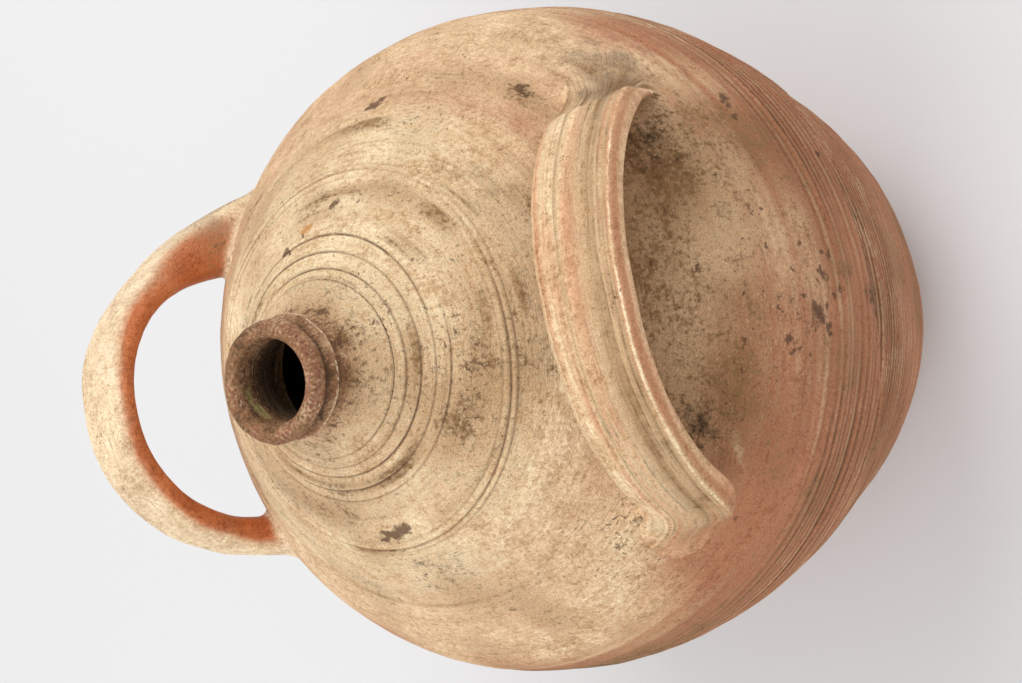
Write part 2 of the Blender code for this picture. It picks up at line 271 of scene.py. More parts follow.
def centred(tree, value, weight):
    """The value about its middle of 0.5, times the weight."""
    return put(tree, "Math", {0: value, 1: weight, 2: -0.5 * weight}, operation="MULTIPLY_ADD").outputs[0]


def uneven(tree, noise, **weights):
    """The named noises about their middle, each times its weight, added up."""
    return added(tree, *(centred(tree, noise[name], weight) for name, weight in weights.items()))


def patchy(tree, name, unevenness, full, there):
    """How much of a stain shows: a smooth step of its fact made uneven, from 0.1 up to full.

    A second smooth step of the fact alone, from 0 up to there, keeps it off the places without the stain.
    """
    amount = added(tree, fact(tree, name), unevenness)
    return times(tree, between(tree, amount, 0.1, full), between(tree, fact(tree, name), 0.0, there))


def clay_noise(tree, line_pitch, line_length):
    """The clay's noises by name: five from clouds down to dust, and three drawn out along the turning lines.

    The first number is the scale: waves per metre, and in the last three per line pitch and line length.
    """
    place = put(tree, "TexCoord").outputs["Object"]
    split = put(tree, "SeparateXYZ", {0: place})
    turned = put(tree, "CombineXYZ", {
        0: times(tree, split.outputs[0], 1.0 / line_length),
        1: times(tree, split.outputs[1], 1.0 / line_length),
        2: times(tree, fact(tree, "lines"), 1.0 / line_pitch),
    }).outputs[0]
    return {
        "place": place,
        "cloud": grain(tree, place, 16.0, 4.0, 0.65),
        "patches": grain(tree, place, 34.0, 6.0, 0.70, 0.3),
        "mottle": grain(tree, place, 95.0, 5.0, 0.75),
        "grit": grain(tree, place, 430.0, 3.0, 0.7),
        "dust": grain(tree, place, 1300.0, 2.0, 0.6),
        "broad_lines": grain(tree, turned, 0.30, 2.0, 0.5),
        "thin_lines": grain(tree, turned, 1.2, 3.0, 0.65, 0.3),
        "hair_lines": grain(tree, turned, 3.0, 2.0, 0.5, 0.4),
    }


def specks(tree, noise):
    """Fine specks, coarse specks and hair scratches: noise over a threshold, and more where it is flecked."""
    density = added(tree, centred(tree, noise["patches"], 0.45), centred(tree, fact(tree, "fleck"), 0.22))
    fine = added(tree, grain(tree, noise["place"], 560.0, 2.0, 0.6, 0.4), density)
    coarse = added(tree, grain(tree, noise["place"], 190.0, 3.0, 0.65, 0.6), density)
    hairs = added(tree, noise["hair_lines"], centred(tree, noise["mottle"], 0.9), density)
    steps = ((fine, 0.66, 0.72), (coarse, 0.69, 0.73), (hairs, 0.66, 0.74))
    return [between(tree, *step) for step in steps]


def stained_colour(tree, noise, base, blushed, lined, pepper, crumbs, scratches):
    """The clay's colour: base to blushed, then bloom, ash and painted shade, lightness, grime and painted
    shade, specks, tool dirt, and soot and painted shade.
    """
    blush = added(tree, fact(tree, "blush"), uneven(tree, noise, patches=0.9, broad_lines=0.5, cloud=0.7))
    colour = laid_over(tree, between(tree, blush, 0.0, 1.0), base, blushed)
    bloom = patchy(tree, "cream", uneven(tree, noise, patches=2.2, grit=1.1, thin_lines=0.9), 1.0, 0.3)
    colour = laid_over(tree, bloom, colour, PALE_BLOOM)
    ash_and_shade = patchy(tree, "ash_and_shade", uneven(tree, noise, mottle=-1.8), 1.0, 0.3)
    colour = laid_over(tree, ash_and_shade, colour, ASH_GREY_AND_SHADE)

    lightness = added(tree, 1.0, uneven(
        tree, noise, cloud=0.45, patches=1.0, mottle=1.35, grit=1.35, dust=1.2,
        broad_lines=0.25 * lined, thin_lines=0.40 * lined,
    ))
    shade = put(tree, "CombineXYZ", {
        0: sums(tree, "POWER", lightness, 0.75), 1: lightness, 2: sums(tree, "POWER", lightness, 1.25),
    }).outputs[0]
    colour = laid_over(tree, 1.0, colour, shade, "MULTIPLY")

    calmed = max(lined, 1.0)
    gritty = uneven(
        tree, noise, thin_lines=0.8 * lined, mottle=2.2 / calmed ** 0.5, grit=2.8 / calmed, patches=1.6,
    )
    colour = laid_over(tree, between(tree, fact(tree, "grime_and_shade"), 0.0, 1.0, 0.0, 0.32), colour, OLIVE_GRIME_AND_SHADE)
    colour = laid_over(tree, patchy(tree, "grime_and_shade", gritty, 1.25, 0.25), colour, OLIVE_GRIME_AND_SHADE)
    colour = laid_over(tree, times(tree, scratches, min(0.45, 0.40 / lined)), colour, OLIVE_GRIME_AND_SHADE)
    dark = sums(tree, "MAXIMUM", times(tree, pepper, 0.60), times(tree, crumbs, 0.75))
    colour = laid_over(tree, dark, colour, RUST_BROWN)
    pale_specks = between(tree, grain(tree, noise["place"], 620.0, 2.0, 0.6), 0.62, 0.72, 0.0, 0.5)
    flecked = between(tree, added(tree, fact(tree, "fleck"), noise["cloud"]), 0.7, 1.3)
    colour = laid_over(tree, times(tree, pale_specks, flecked), colour, PALE_BLOOM)
    tool_dirt = times(tree, fact(tree, "cut"), between(tree, noise["mottle"], 0.35, 0.58, 0.55, 1.0))
    colour = laid_over(tree, tool_dirt, colour, GROOVE_DIRT)
    return laid_over(tree, patchy(tree, "soot_and_shade", times(tree, gritty, 0.6), 1.1, 0.2), colour, SOOT_AND_SHADE)


def fired_clay(
    name, base, blushed, line_pitch, marks=(), roughness=(0.74, 0.90), lined=1.0, line_length=0.05,
):
    """Unglazed fired clay. Its colour goes from base to blushed by the blush attribute.

    The cream, ash_and_shade, grime_and_shade, fleck, cut and soot_and_shade attributes say where pale bloom,
    grey smears, brown patina, specks, dirty tool lines, dark deposits and painted shade lie, and noise along
    the turning lines breaks them up.
    Marks are (colour, list of round marks) that are laid on last. Lined is how strong the lines are, and
    line_length how far one runs before it changes.
    """
    material = bpy.data.materials.new(name)
    material.use_nodes = True
    tree = material.node_tree
    tree.nodes.clear()
    noise = clay_noise(tree, line_pitch, line_length)
    pepper, crumbs, scratches = specks(tree, noise)
    colour = stained_colour(tree, noise, base, blushed, lined, pepper, crumbs, scratches)
    torn = ragged(tree, noise["place"], 330.0, 0.0085)
    for paint, points in marks:
        colour = laid_over(tree, times(tree, blots(tree, torn, points), MARK_STRENGTH), colour, paint)
    layers = (
        (noise["grit"], 0.9), (noise["mottle"], 0.8), (noise["dust"], 0.5), (noise["hair_lines"], 0.3),
        (noise["thin_lines"], 0.5 + 0.4 * lined), (pepper, -0.12), (crumbs, -0.18),
    )
    height = added(tree, *(times(tree, layer, weight) for layer, weight in layers))
    bump = put(tree, "Bump", {"Strength": 0.75, "Distance": GRAIN_HEIGHT, "Height": height})
    rough = between(tree, noise["mottle"], 0.35, 0.65, *roughness)
    shader = put(tree, "BsdfPrincipled", {
        "Base Color": colour, "Roughness": rough, "Normal": bump.outputs[0], "Specular IOR Level": 0.22,
    })
    out = put(tree, "OutputMaterial")
    tree.links.new(shader.outputs[0], out.inputs["Surface"])
    return material


BUFF_CLAY = (0.79, 0.535, 0.310, 1.0)
PINK_CLAY = (0.50, 0.203, 0.102, 1.0)
PALE_BLOOM = (0.87, 0.655, 0.395, 1.0)
# The ash grey, olive grime and soot colours also paint shade in some places.
ASH_GREY_AND_SHADE = (0.36, 0.265, 0.18, 1.0)
OLIVE_GRIME_AND_SHADE = (0.28, 0.150, 0.060, 1.0)
RUST_BROWN = (0.13, 0.062, 0.032, 1.0)
SOOT_AND_SHADE = (0.085, 0.050, 0.026, 1.0)
GROOVE_DIRT = (0.125, 0.062, 0.034, 1.0)
RUST_ORANGE = (0.60, 0.24, 0.06, 1.0)
MARK_STRENGTH = 0.85
MARK_SPREAD = 1.25
GRAIN_HEIGHT = 0.0016
LINE_PITCH = 0.0022

RIB_PITCH = 0.0042
RIB_DEPTH = 0.0015
RIB_SPAN = 0.085
BAND_PITCH = 0.0058
BAND_DEPTH = 0.0010
BANDS_FADE = (0.274, 0.300)
EDGE_TURN = math.radians(4)
EDGE_RUN = 0.243
EDGE_SAG = 0.087
EDGE_HALF = math.radians(50)
EDGE_STEP = 0.0010

# Stains on the wall and some painted shade, by kind: amount, degrees of turn, millimetres up the wall,
# half width, half height and, where it lies askew, its slant.
PINK_BORDER = 340
BLUSH_SPOTS = (
    (-0.46, 66, 280, 52, 62), (-0.22, 85, 330, 60, 40), (-0.16, 0, 300, 50, 45), (0.10, -42, 290, 40, 50),
    (0.26, -62, 430, 85, 5), (0.22, -42, 408, 40, 5, -0.12), (0.15, 75, 395, 60, 14), (0.20, 45, 402, 30, 14),
)
GRIME_AND_SHADE_SPOTS = (
    (0.30, 2, 398, 66, 16), (0.42, 22, 368, 30, 30), (0.12, -22, 360, 30, 22), (0.28, 22, 310, 34, 36),
    (0.27, 5, 468, 48, 11), (0.30, -28, 474, 36, 12), (0.28, -3, 450, 34, 11), (0.45, -122, 476, 48, 12),
    (0.30, 12, 438, 30, 12), (0.42, 50, 388, 26, 7, -0.1), (0.20, -38, 340, 36, 26), (0.40, 40, 350, 16, 14),
    # The last grime spot, low on the -Y side, is partly grime and partly painted shade of the lower wall.
    (0.30, 25, 428, 40, 5), (0.32, 60, 462, 44, 5), (0.95, -98, 284, 105, 34),
)
SOOT_AND_SHADE_SPOTS = (
    # The first four soot spots lie in the recesses by the right strap's roots and are painted shade.
    (0.46, 28, 366, 11, 11, -0.9), (0.56, -25, 369, 10, 9, 0.9), (0.22, 24, 352, 18, 18),
    # The soot spot at -104 degrees is partly soot and partly the same painted shade of the lower wall.
    (0.14, -24, 374, 12, 10), (0.34, -104, 280, 100, 28), (0.40, -89, 439, 9, 4), (0.30, -20, 280, 8, 9),
    (0.34, 32, 302, 7, 9), (0.70, -5, 240, 7, 11), (0.30, -7, 304, 11, 9), (0.45, 52, 386, 9, 3, -0.1),
    (0.35, -4, 322, 9, 6), (0.30, 87, 404, 6, 5),
)
CREAM_SPOTS = (
    (0.45, -56, 372, 30, 26), (0.30, 72, 290, 50, 50), (0.55, -84, 352, 50, 18), (0.75, -29, 347, 9, 4, 0.5),
    (0.30, 100, 420, 60, 30), (0.45, -120, 410, 70, 40), (0.35, 75, 495, 60, 20), (0.25, 60, 440, 40, 12),
)
ASH_AND_SHADE_SPOTS = (
    (0.55, 45, 352, 26, 20), (0.34, 34, 438, 34, 16), (0.26, -30, 395, 34, 14), (0.20, 45, 330, 22, 20),
    # The ash spot at -88 degrees is partly grey smear and partly the same painted shade of the lower wall.
    (0.34, -3, 236, 34, 14), (0.22, -5, 365, 34, 22), (0.45, -88, 285, 36, 26), (0.34, -150, 465, 60, 14),
)
FLECK_SPOTS = (
    (0.50, -6, 308, 42, 32), (0.34, -50, 385, 46, 26), (0.36, 0, 472, 60, 22), (0.25, 70, 385, 70, 22),
)


def facing(turn, degrees):
    """1 on the side of the pot at these degrees of turn and -1 opposite: the cosine of the turn between."""
    return np.cos(turn - math.radians(degrees))


def spots(lines, turn, marks):
    """The soft spots of one kind of stain, each times its amount, added up."""
    total = 0.0
    for amount, degrees, up, wide, high, *slant in marks:
        total = total + amount * stain(lines, turn, (degrees, up), (wide, high), *slant)
    return total


def turned_edge(turn):
    """Run of the line where the turned ribs begin: it sags by a power law on both sides of its top."""
    apart = np.abs((turn - EDGE_TURN + math.pi) % (2 * math.pi) - math.pi)
    return EDGE_RUN - EDGE_SAG * np.minimum(apart / EDGE_HALF, 1.0) ** 1.9


def grooves(lines, turn, pitch, seed):
    """Height from 0 in a groove to 1 on a crest: |sin| with a wandering phase and uneven depth."""
    phase = lines + 0.20 * pitch * turning_noise(lines, turn, 4 * pitch, seed)
    crest = np.abs(np.sin(math.pi * phase / pitch)) ** 0.6
    depth = np.clip(0.85 + 0.45 * turning_noise(lines, turn, 1.2 * pitch, seed + 100), 0.2, 1.3)
    return 1 - depth * (1 - crest)


def rib_window(lines, turn):
    """Where the tool's ribs are: from the turned edge down, fading over their span."""
    below = turned_edge(turn) - lines
    return step_up(below, -0.0005, 0.002) * (1 - step_up(below, 0.45 * RIB_SPAN, RIB_SPAN))


def band_window(lines, turn):
    """Where the softer bands above the edge are: strongest on both sides of the right handle."""
    edge = turned_edge(turn)
    beside = 0.30 + 0.9 * step_up(facing(turn, 52), 0.62, 0.92) + 0.6 * step_up(facing(turn, -48), 0.80, 0.95)
    return beside * step_up(lines, edge, edge + 0.006) * (1 - step_up(lines, *BANDS_FADE))


def tool_marks(lines, turn):
    """The tool's groove depth, 0 to 1 or so, and the crest share beside it, for relief and for dirt."""
    ribs, bands = grooves(lines, turn, RIB_PITCH, 11), grooves(lines, turn, BAND_PITCH, 13)
    in_ribs, in_bands = rib_window(lines, turn), band_window(lines, turn)
    return in_ribs * (1 - ribs), in_bands * (1 - bands), in_ribs * ribs ** 3 + 0.8 * in_bands * bands ** 3


def wall_facts(lines, turn, cut):
    """The colour facts of both halves: pink low down, buff above, the stains that age has left, and painted
    shade in a few places.

    Most are smooth steps up the wall, in millimetres of run, and the spots of their kind.
    """
    up = 1000 * lines
    place = wall_point(lines, turn, 0.0)
    cloudy = ripples(place, 0.11, 21)
    small_clouds = ripples(place, 0.045, 24)
    streaks = np.clip(turning_noise(lines, turn, 0.0056, 81), 0, 1.4)
    streaks = streaks * np.clip(0.35 + ripples(place, 0.05, 83), 0, 1.2)
    inside_loop = step_up(facing(turn, 2), 0.76, 0.92) * step_up(up, 318, 348) * (1 - step_up(up, 402, 420))
    peach = step_up(facing(turn, 85), 0.2, 0.9) * (1 - step_up(up, 385, 430))
    border = PINK_BORDER + 14 * cloudy + 8 * small_clouds - 10 * facing(turn, 75)
    border = border + 34 * step_up(facing(turn, -25), 0.75, 1.0)

    blush = 0.86 * (1 - step_up(up, border - 60, border + 40)) + 0.10 * cloudy * (1 - step_up(up, 330, 380))
    blush = blush + 0.18 * peach + 0.08 * (1 - step_up(up, 400, 470)) + spots(lines, turn, BLUSH_SPOTS)
    blush = blush + 0.20 * turning_noise(lines, turn, 0.006, 84) * (1 - step_up(up, 320, 350))
    # Inside the right strap's loop the grime is partly real and partly painted shade under the strap; below
    # 262 to 330 mm up, the wall is made darker all round.
    grime_and_shade = 0.36 * inside_loop + spots(lines, turn, GRIME_AND_SHADE_SPOTS) + 0.16 * (1 - step_up(up, 262, 330))
    grime_and_shade = grime_and_shade + 0.12 * step_up(up, 488, 511) * (0.55 - 0.45 * facing(turn, 75))
    grime_and_shade = grime_and_shade + 0.16 * np.clip(cloudy, 0, 1) + 0.22 * np.clip(small_clouds, 0, 1)
    grime_and_shade = grime_and_shade + streaks * (0.16 + 0.26 * step_up(up, 385, 420))
    cream = spots(lines, turn, CREAM_SPOTS) + 0.48 * step_up(up, 400, 440)
    fleck = 0.34 + spots(lines, turn, FLECK_SPOTS) + 0.15 * cloudy + 0.25 * inside_loop
    fleck = fleck - 0.15 * step_up(facing(turn, -110), 0.6, 1.0)
    return {
        "lines": lines, "blush": blush, "grime_and_shade": grime_and_shade, "soot_and_shade": spots(lines, turn, SOOT_AND_SHADE_SPOTS),
        "cream": cream + 0.26 * tool_marks(lines, turn)[2],
        "ash_and_shade": spots(lines, turn, ASH_AND_SHADE_SPOTS) + 0.22 * (1 - step_up(up, 180, 240)),
        "fleck": np.clip(fleck, 0.0, 1.0), "cut": cut,
    }


def hand_relief(lines, turn):
    """What the hands left on the whole wall: soft finger rings and dents, each up to half a millimetre."""
    place = wall_point(lines, turn, 0.0)
    rings = 0.00028 * turning_noise(lines, turn, 0.009, 31) + 0.00040 * turning_noise(lines, turn, 0.026, 32)
    return rings + 0.00045 * ripples(place, 0.12, 33) + 0.00010 * ripples(place, 0.016, 34)


def tool_relief(lines, turn):
    """The tool's work on the lower wall: a small step down below the edge, the ribs and the soft bands."""
    below = turned_edge(turn) - lines
    step = EDGE_STEP * step_up(below, -0.0008, 0.0012) * (1 - step_up(below, 0.010, 0.060))
    ribs, bands, _ = tool_marks(lines, turn)
    return -step - RIB_DEPTH * ribs - BAND_DEPTH * bands


def on_wall(*marks):
    """Round marks on the wall, from (degrees of turn, millimetres up the wall, radius in millimetres)."""
    places = [wall_point(up / 1000, math.radians(degrees), 0.0).tolist() for degrees, up, _ in marks]
    return [(*place, MARK_SPREAD * mark[2] / 1000) for place, mark in zip(places, marks)]


def padded(values, before, after):
    """Carries the first row of values down over the foot and the last one inwards over the inside."""
    first = np.repeat(values[:1], before, axis=0)
    last = np.repeat(values[-1:], after, axis=0)
    return np.concatenate([first, values, last])


turn_line = np.linspace(0, 2 * math.pi, TURNS, endpoint=False)
outside = rows_in((FOOT_EDGE, RIBBED_FROM, PLAIN_ROW), (RIBBED_FROM, SEAM_RUN, RIBBED_ROW))
lines, turn = np.meshgrid(outside, turn_line, indexing="ij")
lower_rows = wall_point(lines, turn, hand_relief(lines, turn) + tool_relief(lines, turn))
ribs, bands, _ = tool_marks(lines, turn)
lower_facts = wall_facts(lines, turn, np.clip(2.0 * ribs + 1.3 * bands, 0.0, 1.0))

inside = np.linspace(SEAM_RUN - 0.0005, INNER_CORNER_RUN, 16)
inner_lines, inner_turn = np.meshgrid(inside, turn_line, indexing="ij")
inner_rows = wall_point(inner_lines, inner_turn, -WALL)
foot_radius = FOOT_RADIUS - FOOT_EDGE
foot_ring = foot_radius * np.stack([np.cos(turn_line), np.sin(turn_line), 0 * turn_line], axis=-1)
foot_rows = foot_ring[None] * np.linspace(0.15, 1.0, 6)[:, None, None]
floor_rows = foot_ring[None] * np.linspace(0.98, 0.15, 5)[:, None, None] + np.array([0.0, 0.0, FLOOR])
lower_rows = np.concatenate([foot_rows, lower_rows, inner_rows, floor_rows])
hidden = len(inner_rows) + len(floor_rows)
lower_facts = {key: padded(value, len(foot_rows), hidden) for key, value in lower_facts.items()}
lower_half = skin("turned_lower_half", lower_rows, False, lower_facts)
lower_marks = on_wall((19.7, 248.9, 1.6), (27.2, 187.7, 2.0), (-8, 236, 2.5), (12, 226, 1.8))
lower_half.data.materials.append(
    fired_clay("Pink turned clay", BUFF_CLAY, PINK_CLAY, LINE_PITCH, [(RUST_BROWN, lower_marks)])
)
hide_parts("lower_body")
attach(lower_half, "root")

# The shoulder
# The upper half is a thrown dome of buff clay, set on the lower half's rim and pulled in to the neck.
# A pointed stick has scored four thin lines and a double ring round the neck while the clay turned.

SCORED_AT = (0.5050, 0.4980, 0.4905, 0.4830)
SCORED_BENDS = ((0.0004, 0.0003), (-0.0008, 0.0006), (-0.0014, 0.0015), (-0.0030, 0.0020))
SCORE_WIDTH = 0.00048
SCORE_DEPTH = 0.0008
RING_AT = 0.4555
RING_OVAL = 0.0045
RING_HEIGHT = 0.0007
RING_WIDTH = 0.0014
RING_LINES = ((0.0, 0.85), (-0.0031, 0.55), (0.0040, 0.40))


def bell(value, middle, width):
    """Bell curve: exp(-((value - middle) / width)^2)."""
    return np.exp(-((value - middle) / width) ** 2)


def scored(lines, turn):
    """Depth of the scored lines: narrow bells on each line, which fade in and out round the pot."""
    total = np.zeros_like(lines)
    for number, middle in enumerate(SCORED_AT):
        strength = 0.9 + 0.45 * turning_noise(lines, turn, 0.5, 41 + number)
        if number == 3:
            strength = strength * (1 - step_up(facing(turn, 90), -0.2, 0.4))
        total += np.clip(strength, 0.12, 1.25) * bell(lines, middle, SCORE_WIDTH)
    strength = np.clip(0.75 + 0.5 * turning_noise(lines, turn, 0.5, 47), 0.1, 1.1)
    for offset, share in RING_LINES:
        total += share * strength * bell(lines, RING_AT + offset, SCORE_WIDTH)
    return total


def ring_relief(lines):
    """The double ring: two low bells between its lines."""
    ridges = bell(lines, RING_AT + 0.0019, RING_WIDTH) + bell(lines, RING_AT - 0.0017, RING_WIDTH)
    return RING_HEIGHT * ridges


def bend(lines, turn):
    """How far a line stands off its level run: the ring is oval, and the scored lines tilt and are oval.

    Each line's bend is a sine and a double cosine of turn, and a bell round the line carries it.
    """
    total = RING_OVAL * bell(lines, RING_AT, 0.015) * np.cos(2 * turn)
    for middle, (tilt, swell) in zip(SCORED_AT, SCORED_BENDS):
        total = total + bell(lines, middle, 0.0034) * (tilt * np.sin(turn) + swell * np.cos(2 * turn))
    return total


# Rows stand close together at the soft bands, at the double ring and at each scored line.
outside = rows_in(
    (SEAM_RUN, 0.300, 0.0007), (0.300, 0.380, 0.0024), (0.380, 0.448, 0.0013), (0.448, 0.464, 0.0005),
    (0.464, 0.4815, 0.0016), (0.4815, 0.4846, 0.00036), (0.4846, 0.4890, 0.0010), (0.4890, 0.4921, 0.00036),
    (0.4921, 0.4965, 0.0010), (0.4965, 0.4996, 0.00036), (0.4996, 0.5035, 0.0010), (0.5035, 0.5066, 0.00036),
    (0.5066, TOP_RUN, 0.0009),
)
lines, turn = np.meshgrid(outside, turn_line, indexing="ij")
cut = scored(lines, turn)
to_edge = step_up(TOP_RUN - lines, 0.0, 0.002)
relief = hand_relief(lines, turn) + ring_relief(lines) - SCORE_DEPTH * cut
run = lines + bend(lines, turn) * to_edge
upper_rows = wall_point(run, turn, relief * to_edge + tool_relief(lines, turn))
upper_rows[..., 2] += SEAM_SLIP * (1 - step_up(lines - SEAM_RUN, 0.0, 0.01))
upper_facts = wall_facts(run, turn, np.clip(0.95 * cut + 1.3 * tool_marks(lines, turn)[1], 0.0, 1.0))

inside = np.linspace(TOP_RUN - 0.002, SEAM_RUN + 0.0005, 14)
inner_lines, inner_turn = np.meshgrid(inside, turn_line, indexing="ij")
inner_rows = wall_point(inner_lines, inner_turn, -WALL)
upper_rows = np.concatenate([upper_rows, inner_rows])
upper_facts = {key: padded(value, 0, len(inner_rows)) for key, value in upper_facts.items()}
shoulder = skin("thrown_shoulder", upper_rows, True, upper_facts)
dark_marks = on_wall(
    (31.4, 302.8, 2.6), (29.8, 304, 1.6), (27.4, 306.0, 2.0), (53.9, 383.9, 2.0), (3.1, 368.8, 2.0),
    (10.5, 324.6, 1.2), (4.4, 328.7, 1.1), (1.8, 283.7, 1.6), (-0.7, 293.5, 2.2), (-1.6, 290.5, 1.6),
    (-3.5, 279.1, 1.5), (-5.9, 302.5, 1.8), (-6.8, 300.0, 2.4), (-8.2, 297.6, 2.0), (-5.8, 328.2, 1.3),
    (-10.8, 322.8, 2.2), (-12.6, 320.0, 1.8), (-12.2, 316.8, 1.4), (-9.2, 292.2, 1.8), (-10.3, 291.0, 1.5),
    (-13.7, 308.5, 1.4), (-2.9, 348.2, 1.2), (-3.2, 338.0, 1.0), (87.2, 404.6, 2.8), (88.6, 407.0, 1.8),
    (86.0, 401.5, 1.4), (85.2, 469.7, 2.0), (86.6, 472.0, 1.2), (109.1, 487.0, 1.9), (107.0, 489.0, 1.4),
    (-84.0, 462.5, 2.4), (-86.6, 462.5, 2.6), (-89.5, 460.5, 2.6), (-92.0, 462.0, 2.4), (-94.0, 458.5, 1.8),
    (98.6, 483.5, 1.1), (18.0, 342.3, 0.9), (24.2, 365.9, 1.6), (-4.0, 311.0, 1.2), (0.6, 315.5, 1.0),
    (4.2, 306.0, 1.3), (-9.5, 303.0, 1.2), (-2.2, 298.5, 1.5), (-6.0, 293.0, 1.2), (2.6, 289.5, 1.1),
    (-4.6, 286.0, 1.3),
)
orange_marks = on_wall((97.6, 480.3, 2.6), (96.4, 479.0, 1.8))
shoulder.data.materials.append(
    fired_clay("Buff thrown clay", BUFF_CLAY, PINK_CLAY, LINE_PITCH, [
        (RUST_ORANGE, orange_marks), (RUST_BROWN, dark_marks),
    ])
)
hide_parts("shoulder")
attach(shoulder, "root")

# The neck
# The neck is thrown from one ring of clay: a flare that leaves the shoulder, a sharp collar to tie a cloth
# under, and a rolled lip. Oil and hands have darkened it to purple-brown.

NECK_SEAT = 0.444
FLARE_RADIUS = 0.0400
THROAT_RADIUS = 0.0248
THROAT_HEIGHT = NECK_SEAT + 0.0165
COLLAR_RADIUS = 0.0277
COLLAR_HEIGHT = NECK_SEAT + 0.0233
LIP_GROOVE_RADIUS = 0.0246
LIP_GROOVE_HEIGHT = NECK_SEAT + 0.0283
LIP_RADIUS = 0.0272
LIP_HEIGHT = NECK_SEAT + 0.0339
LIP_ROUND = 0.0044
BORE_RADIUS = 0.0187
BORE_TOP = 0.4765
BORE_WIDENS_AT = 0.462
BORE_END = 0.4375
BORE_WIDENING = 0.0098
BORE_RIDGE = 0.00012
BORE_RIDGE_PITCH = 0.0031
NECK_TURNS = 320
NECK_LINE_PITCH = 0.0012
PURPLE_BROWN = (0.300, 0.112, 0.066, 1.0)
CRUST_GREEN = (0.42, 0.34, 0.13, 1.0)

# The outline goes up the flare, round the collar and over the lip, and down the bore.
t = np.linspace(0, 1, 34)[:, None]
seat = np.array([FLARE_RADIUS, NECK_SEAT + 0.0003])
throat = np.array([THROAT_RADIUS, THROAT_HEIGHT])
corner = np.array([THROAT_RADIUS, NECK_SEAT + 0.0108])
flare = (1 - t) ** 2 * seat + 2 * t * (1 - t) * corner + t ** 2 * throat
lip_half = (LIP_RADIUS - BORE_RADIUS) / 2
around = np.linspace(-0.9, math.pi, 40)[:, None]
lip = np.hstack([BORE_RADIUS + lip_half + lip_half * np.cos(around), LIP_HEIGHT + LIP_ROUND * np.sin(around)])
collar = smooth_curve(np.array([
    (THROAT_RADIUS, COLLAR_HEIGHT - 0.0030),
    (THROAT_RADIUS + 0.0007, COLLAR_HEIGHT - 0.0010),
    (COLLAR_RADIUS, COLLAR_HEIGHT + 0.0002),
    (COLLAR_RADIUS - 0.0006, COLLAR_HEIGHT + 0.0022),
    (LIP_GROOVE_RADIUS + 0.0004, COLLAR_HEIGHT + 0.0040),
    (LIP_GROOVE_RADIUS, LIP_GROOVE_HEIGHT + 0.0004),
]), 8)
bore_height = np.linspace(BORE_TOP, BORE_END, 40)
widened = step_up(-bore_height, -BORE_WIDENS_AT, -BORE_END) ** 1.5
bore = np.stack([BORE_RADIUS + BORE_WIDENING * widened, bore_height], axis=1)
outline = np.vstack([flare, collar, lip[1:], bore])
turn_line = np.linspace(0, 2 * math.pi, NECK_TURNS, endpoint=False)
radius, turn = np.meshgrid(outline[:, 0], turn_line, indexing="ij")
height = np.repeat(outline[:, 1:], NECK_TURNS, axis=1)
in_bore = np.zeros_like(height)
in_bore[-len(bore):] = 1.0
place = np.stack([radius * np.cos(turn), radius * np.sin(turn), height], axis=-1)
free = step_up(height, NECK_SEAT, NECK_SEAT + 0.006)
wobble = free * (0.00030 * ripples(place, 0.020, 51) + 0.00014 * ripples(place, 0.006, 52))
wobble = wobble + BORE_RIDGE * in_bore * np.sin(2 * math.pi * height / BORE_RIDGE_PITCH + np.sin(turn))
radius = radius + wobble
neck_rows = np.stack([
    radius * np.cos(turn), radius * np.sin(turn) - drift(height), height + 0.5 * wobble * (1 - in_bore),
], axis=-1)

edge = bell(height, COLLAR_HEIGHT + 0.0004, 0.0010) * step_up(radius, 0.0266, 0.0275)
under_lip = bell(height, LIP_GROOVE_HEIGHT, 0.0017) * (1 - in_bore)
# The throat under the collar gets painted shade.
under_collar = bell(height, COLLAR_HEIGHT - 0.0030, 0.0028) * (1 - in_bore)
under_collar = under_collar * (1 - step_up(radius, 0.0252, 0.0262))
mottled = 0.5 + 0.5 * ripples(place, 0.011, 53)
blotched = 0.5 + 0.5 * ripples(place, 0.020, 54)
speckled = ripples(place, 0.0021, 55)
near_collar = step_up(height, 0.4530, 0.4615)
on_lip = step_up(height, LIP_GROOVE_HEIGHT + 0.001, LIP_GROOVE_HEIGHT + 0.003) * (1 - in_bore)
to_back = 0.5 + 0.5 * facing(turn, 80)
to_left = 0.5 + 0.5 * facing(turn, 140)
to_front_left = 0.5 + 0.5 * facing(turn, -125)
crust = in_bore * step_up(height, 0.464, 0.474) * step_up(to_front_left, 0.75, 0.97)
blush = 0.14 + 0.20 * blotched + near_collar * (0.38 + 0.25 * mottled + 0.22 * speckled) + 0.04 * on_lip
grime_and_shade = 0.16 + 0.45 * mottled * blotched + 0.22 * to_back * (1 - near_collar) + 0.30 * near_collar
grime_and_shade = grime_and_shade - 0.8 * edge + on_lip * (0.40 * to_left - 0.25)
# In the bore the soot is painted shade that grows darker downwards; the specks near the collar are soot.
soot_and_shade = 0.24 * np.clip(speckled, 0, 1) * near_collar + in_bore * (1.1 - 0.8 * step_up(height, 0.460, 0.474))
soot_and_shade = soot_and_shade + 0.70 * under_lip + 0.62 * under_collar - 0.8 * edge + 0.20 * on_lip * to_left - 0.5 * crust
cream = 1.2 * edge * np.clip(0.6 + speckled, 0, 1)
cream = cream + 0.30 * on_lip * (1 - 0.6 * to_left) * np.clip(blotched - 0.5 * speckled, 0, 1)
neck_facts = {
    "blush": blush, "grime_and_shade": grime_and_shade, "soot_and_shade": soot_and_shade, "cream": cream, "ash_and_shade": 0.25 * in_bore,
    "fleck": 0.80 + 0.15 * mottled, "cut": 0.45 * under_lip,
}
beside = wall_facts(np.full_like(height, TOP_RUN), turn, 0 * height)
onto_wall = 1 - step_up(height, NECK_SEAT + 0.0015, NECK_SEAT + 0.0135)
